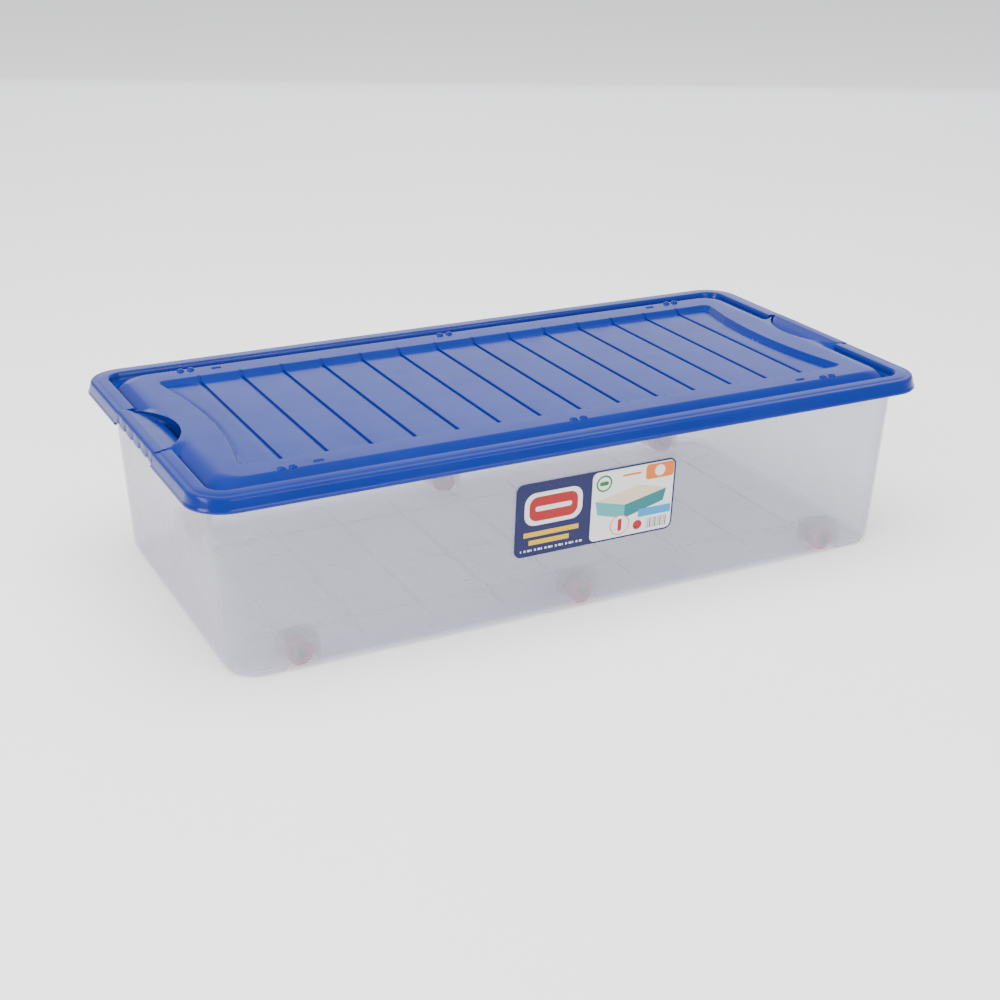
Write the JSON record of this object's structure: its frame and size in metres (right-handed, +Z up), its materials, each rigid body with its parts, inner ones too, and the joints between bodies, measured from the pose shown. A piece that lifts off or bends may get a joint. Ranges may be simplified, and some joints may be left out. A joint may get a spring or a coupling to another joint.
{
  "type": "under bed box",
  "caption": "Long shallow wheeled storage box with a translucent tub, a grooved lid and a rocker latch at each end, for keeping linen or clothes under a bed.",
  "frame": {"origin": "middle of the box's footprint, on the floor that the wheels and feet stand on", "axes": "+X along the long side, -Y towards the labelled front, +Z up"},
  "size_m": [1.0808, 0.538, 0.262],
  "materials": {
    "tub_plastic": "smooth milky translucent",
    "lid_plastic": "smooth satin",
    "wheel_plastic": "smooth",
    "axle_plastic": "smooth",
    "label_print": "glossy film print"
  },
  "bodies": {
    "tub": {"tub": "tub_plastic", "label": "label_print", "axle_front_left": "axle_plastic", "axle_front_middle": "axle_plastic", "axle_front_right": "axle_plastic", "axle_rear_left": "axle_plastic", "axle_rear_middle": "axle_plastic", "axle_rear_right": "axle_plastic"},
    "lid": {"lid": "lid_plastic"},
    "latch_left": {"latch_left": "lid_plastic"},
    "latch_right": {"latch_right": "lid_plastic"},
    "wheel_front_left": {"wheel_front_left": "wheel_plastic"},
    "wheel_front_middle": {"wheel_front_middle": "wheel_plastic"},
    "wheel_front_right": {"wheel_front_right": "wheel_plastic"},
    "wheel_rear_left": {"wheel_rear_left": "wheel_plastic"},
    "wheel_rear_middle": {"wheel_rear_middle": "wheel_plastic"},
    "wheel_rear_right": {"wheel_rear_right": "wheel_plastic"}
  },
  "joints": [
    {"name": "lid_lift", "type": "slide", "parent": "tub", "child": "lid", "axis": [0, 0, 1], "range_m": [0, 0.28]},
    {"name": "latch_left_press", "type": "hinge", "parent": "lid", "child": "latch_left", "pos_m": [-0.531, 0, 0.252], "axis": [0, 1, 0], "range_deg": [0, 18]},
    {"name": "latch_right_press", "type": "hinge", "parent": "lid", "child": "latch_right", "pos_m": [0.531, 0, 0.252], "axis": [0, -1, 0], "range_deg": [0, 18]},
    {"name": "spin_front_left", "type": "hinge", "parent": "tub", "child": "wheel_front_left", "pos_m": [-0.406, -0.217, 0.017], "axis": [0, 1, 0], "continuous": true},
    {"name": "spin_front_middle", "type": "hinge", "parent": "tub", "child": "wheel_front_middle", "pos_m": [0, -0.217, 0.017], "axis": [0, 1, 0], "continuous": true},
    {"name": "spin_front_right", "type": "hinge", "parent": "tub", "child": "wheel_front_right", "pos_m": [0.406, -0.217, 0.017], "axis": [0, 1, 0], "continuous": true},
    {"name": "spin_rear_left", "type": "hinge", "parent": "tub", "child": "wheel_rear_left", "pos_m": [-0.406, 0.217, 0.017], "axis": [0, 1, 0], "continuous": true},
    {"name": "spin_rear_middle", "type": "hinge", "parent": "tub", "child": "wheel_rear_middle", "pos_m": [0, 0.217, 0.017], "axis": [0, 1, 0], "continuous": true},
    {"name": "spin_rear_right", "type": "hinge", "parent": "tub", "child": "wheel_rear_right", "pos_m": [0.406, 0.217, 0.017], "axis": [0, 1, 0], "continuous": true}
  ]
}
